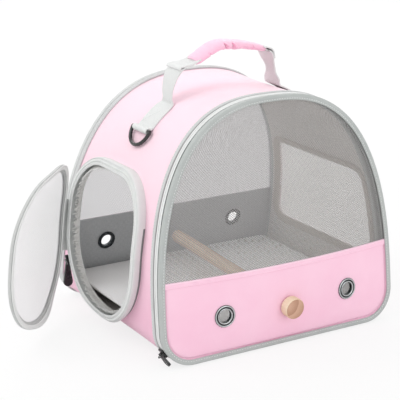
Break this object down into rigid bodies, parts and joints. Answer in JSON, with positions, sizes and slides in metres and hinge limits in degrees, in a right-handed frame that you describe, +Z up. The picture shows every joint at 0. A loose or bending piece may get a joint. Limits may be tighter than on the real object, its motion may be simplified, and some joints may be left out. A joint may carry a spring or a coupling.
{
  "type": "bird travel carrier",
  "caption": "Soft dome-shaped bird carrier with mesh windows, a zipped front panel, a hinged side door, a perch with a screw knob and a carrying handle.",
  "frame": {"origin": "middle of the base, on the surface that the carrier stands on", "axes": "+Z up, -Y out of the front panel, -X out of the side with the door"},
  "size_m": [0.4552, 0.297, 0.3365],
  "materials": {
    "pink_fabric": "matt coated woven",
    "white_foam": "closed-cell foam",
    "white_board": "matt",
    "dark_lining": "matt woven",
    "grey_binding": "ribbed woven tape",
    "grey_webbing": "flat woven webbing",
    "mesh": "open woven mesh",
    "spring_wire": "drawn wire",
    "grey_board": "matt",
    "eyelet_steel": "polished",
    "wood": "sanded beech",
    "fastener_steel": "plain",
    "black_metal": "gloss black"
  },
  "bodies": {
    "shell": {"gusset": "pink_fabric", "gusset_foam": "white_foam", "gusset_lining": "dark_lining", "base_cover": "pink_fabric", "base_board": "white_board", "base_lining": "dark_lining", "front_rim_tape": "grey_binding", "front_zip": "grey_binding", "front_hoop": "spring_wire", "back_rim_tape": "grey_binding", "back_binding": "grey_binding", "back_hoop": "spring_wire", "back_cover": "pink_fabric", "back_lining": "dark_lining", "back_mesh": "mesh", "back_hem": "pink_fabric", "back_eyelets": "eyelet_steel", "back_eyelet_washers": "eyelet_steel", "door_collar": "grey_binding", "door_zip": "grey_binding", "window_mesh": "mesh", "window_binding": "grey_binding", "floor_board": "grey_board", "strap_left": "grey_webbing", "strap_right": "grey_webbing"},
    "front_panel": {"front_cover": "pink_fabric", "front_lining": "dark_lining", "front_mesh": "mesh", "front_hem": "pink_fabric", "front_binding": "grey_binding", "front_eyelets": "eyelet_steel", "front_eyelet_washers": "eyelet_steel", "perch": "wood", "perch_bolt": "fastener_steel", "perch_washer": "fastener_steel"},
    "perch_knob": {"perch_knob": "wood", "knob_insert": "fastener_steel"},
    "door": {"door_binding": "grey_binding", "door_mesh": "mesh", "door_tape": "grey_binding", "door_hinge_tape": "grey_binding"},
    "door_slider": {"door_slider": "black_metal"},
    "door_pull": {"door_pull": "black_metal"},
    "front_slider": {"front_slider": "black_metal"},
    "front_pull": {"front_pull": "black_metal"},
    "handle": {"handle_webbing": "grey_webbing", "handle_grip": "pink_fabric", "handle_foot_left": "grey_webbing", "handle_foot_right": "grey_webbing"},
    "d_ring_left": {"d_ring_left": "black_metal"},
    "d_ring_right": {"d_ring_right": "black_metal"}
  },
  "joints": [
    {"name": "front_panel_hinge", "type": "hinge", "parent": "shell", "child": "front_panel", "pos_m": [0, -0.14, 0.0004], "axis": [1, 0, 0], "range_deg": [0, 66]},
    {"name": "knob_turn", "type": "hinge", "parent": "front_panel", "child": "perch_knob", "pos_m": [0.004, -0.14349, 0.048], "axis": [0.0031, -0.999, -0.0436], "continuous": true},
    {"name": "door_hinge", "type": "hinge", "parent": "shell", "child": "door", "pos_m": [-0.1698, 0.087, 0.115], "axis": [0.0549, 0, -0.9985], "range_deg": [-45, 100]},
    {"name": "door_zip_travel", "type": "hinge", "parent": "shell", "child": "door_slider", "pos_m": [-0.1686, 0, 0.103], "axis": [-1, 0, 0], "range_deg": [0, 146]},
    {"name": "door_pull_swing", "type": "hinge", "parent": "door_slider", "child": "door_pull", "pos_m": [-0.1686, 0.08332, 0.06591], "axis": [1, 0, 0], "range_deg": [-22, 120]},
    {"name": "front_zip_travel", "type": "hinge", "parent": "shell", "child": "front_slider", "pos_m": [-0.12, -0.12417, 0.04], "axis": [0, -0.9948, 0.1015], "range_deg": [-30, 20]},
    {"name": "front_pull_swing", "type": "hinge", "parent": "front_slider", "child": "front_pull", "pos_m": [-0.15621, -0.12674, 0.01478], "axis": [0, 0.9948, -0.1015], "range_deg": [0, 140]},
    {"name": "handle_swing", "type": "hinge", "parent": "shell", "child": "handle", "pos_m": [-0.073, -0.01201, 0.27933], "axis": [0.9995, 0, 0.032], "range_deg": [-45, 45]},
    {"name": "strap_ring_left_swing", "type": "hinge", "parent": "shell", "child": "d_ring_left", "pos_m": [-0.115, -0.01201, 0.24435], "axis": [0, 1, 0], "range_deg": [0, 170]},
    {"name": "strap_ring_right_swing", "type": "hinge", "parent": "shell", "child": "d_ring_right", "pos_m": [0.115, -0.01201, 0.24435], "axis": [0, -1, 0], "range_deg": [0, 170]}
  ]
}
